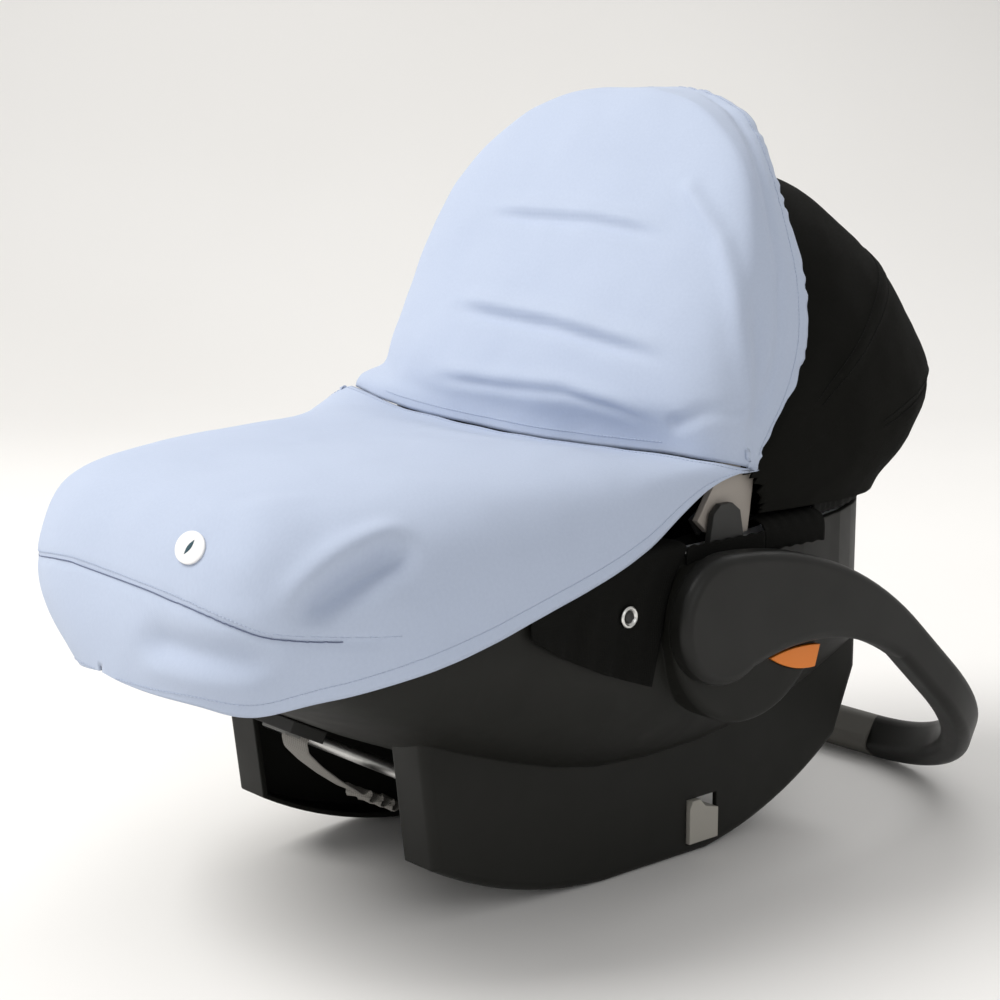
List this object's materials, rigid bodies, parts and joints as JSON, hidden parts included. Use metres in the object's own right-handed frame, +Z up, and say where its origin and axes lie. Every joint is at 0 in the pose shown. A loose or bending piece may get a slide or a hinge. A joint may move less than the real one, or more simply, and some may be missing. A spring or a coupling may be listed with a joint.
{
  "type": "infant car seat",
  "caption": "Rear-facing infant carrier with a tub shell on rockers, a carry handle folded behind it, a folding canopy, a zipped leg cover and a harness.",
  "frame": {"origin": "centre of the object's length and width, on the floor it stands on", "axes": "+X to the baby's left, -Y towards the foot end, +Y towards the head end, +Z up"},
  "size_m": [0.432, 0.7241, 0.559],
  "materials": {
    "cover_fabric": "woven",
    "pad_fabric": "knitted",
    "rim_fabric": "woven",
    "webbing": "woven webbing",
    "shell_plastic": "satin moulded",
    "grip_rubber": "soft touch",
    "foam": "expanded foam",
    "bracket_plastic": "satin",
    "bow_plastic": "satin",
    "dark_plastic": "satin",
    "orange_button": "satin",
    "grey_button": "satin",
    "red_button": "satin",
    "latch_grey": "satin",
    "steel": "plated",
    "spring_steel": "oiled",
    "snap_metal": "polished",
    "badge_white": "woven label"
  },
  "bodies": {
    "carrier": {"adjuster_housing": "dark_plastic", "adjuster_strap": "webbing", "buckle_tongue_left": "steel", "buckle_tongue_right": "steel", "canopy_fabric": "pad_fabric", "canopy_mount_left": "dark_plastic", "canopy_mount_right": "dark_plastic", "canopy_rim_band": "rim_fabric", "carrier_shell": "shell_plastic", "chest_clip": "dark_plastic", "cover_badge": "badge_white", "crotch_buckle": "dark_plastic", "crotch_strap": "webbing", "foam_liner": "foam", "harness_strap_left": "webbing", "harness_strap_right": "webbing", "head_insert": "pad_fabric", "latch_bar_front": "steel", "latch_bar_rear": "steel", "leg_cover": "cover_fabric", "lock_spring_left": "spring_steel", "lock_spring_right": "spring_steel", "pad_snaps": "snap_metal", "pivot_pin_left": "steel", "pivot_pin_right": "steel", "release_spring": "spring_steel", "seat_pad": "pad_fabric", "shell_screws": "steel", "shoulder_pad_left": "pad_fabric", "shoulder_pad_right": "pad_fabric", "splitter_plate": "dark_plastic"},
    "handle": {"handle_bow": "shell_plastic", "handle_grip": "grip_rubber"},
    "canopy": {"canopy_bracket_left": "bracket_plastic", "canopy_bracket_right": "bracket_plastic", "canopy_bow_front": "bow_plastic", "cover_hood": "cover_fabric"},
    "canopy_rear": {"canopy_bow_rear": "bow_plastic"},
    "button_left": {"handle_button_left": "orange_button"},
    "button_right": {"handle_button_right": "orange_button"},
    "gear_left": {"lock_gear_left": "steel"},
    "gear_right": {"lock_gear_right": "steel"},
    "release": {"release_handle": "dark_plastic"},
    "tab_left": {"latch_tab_left": "latch_grey"},
    "tab_right": {"latch_tab_right": "latch_grey"},
    "adjuster": {"adjuster_button": "grey_button"},
    "buckle": {"buckle_button": "red_button"}
  },
  "joints": [
    {"name": "handle_swing", "type": "hinge", "parent": "carrier", "child": "handle", "pos_m": [0, -0.01, 0.208], "axis": [1, 0, 0], "range_deg": [0, 118]},
    {"name": "canopy_fold", "type": "hinge", "parent": "carrier", "child": "canopy", "pos_m": [0, 0.013, 0.271], "axis": [-1, 0, 0], "range_deg": [0, 50], "deforming": ["canopy_fabric"]},
    {"name": "canopy_rear_fold", "type": "hinge", "parent": "carrier", "child": "canopy_rear", "pos_m": [0, 0.013, 0.271], "axis": [-1, 0, 0], "range_deg": [0, 25]},
    {"name": "handle_button_press_right", "type": "slide", "parent": "carrier", "child": "button_right", "axis": [-1, 0, 0], "range_m": [0, 0.005], "stiffness_N_per_m": 300},
    {"name": "handle_button_press_left", "type": "slide", "parent": "carrier", "child": "button_left", "axis": [1, 0, 0], "range_m": [0, 0.005], "stiffness_N_per_m": 300},
    {"name": "lock_gear_slide_right", "type": "slide", "parent": "carrier", "child": "gear_right", "axis": [-1, 0, 0], "range_m": [0, 0.005], "deforming": ["lock_spring_right"]},
    {"name": "lock_gear_slide_left", "type": "slide", "parent": "carrier", "child": "gear_left", "axis": [1, 0, 0], "range_m": [0, 0.005], "deforming": ["lock_spring_left"]},
    {"name": "release_pull", "type": "slide", "parent": "carrier", "child": "release", "axis": [0, 1, 0], "range_m": [0, 0.01], "stiffness_N_per_m": 400, "deforming": ["release_spring"]},
    {"name": "latch_tab_retract_right", "type": "slide", "parent": "carrier", "child": "tab_right", "axis": [-1, 0, 0], "range_m": [0, 0.006]},
    {"name": "latch_tab_retract_left", "type": "slide", "parent": "carrier", "child": "tab_left", "axis": [1, 0, 0], "range_m": [0, 0.006]},
    {"name": "adjuster_press", "type": "slide", "parent": "carrier", "child": "adjuster", "axis": [0, 0.454, 0.891], "range_m": [0, 0.002], "stiffness_N_per_m": 300},
    {"name": "buckle_press", "type": "slide", "parent": "carrier", "child": "buckle", "axis": [0, 0, -1], "range_m": [0, 0.004], "stiffness_N_per_m": 400}
  ],
  "couplings": [
    {"joint": "canopy_rear_fold", "follows": "canopy_fold", "ratio": 0.5},
    {"joint": "lock_gear_slide_right", "follows": "handle_button_press_right", "ratio": 1},
    {"joint": "lock_gear_slide_left", "follows": "handle_button_press_left", "ratio": 1},
    {"joint": "latch_tab_retract_right", "follows": "release_pull", "ratio": 0.6},
    {"joint": "latch_tab_retract_left", "follows": "release_pull", "ratio": 0.6}
  ]
}
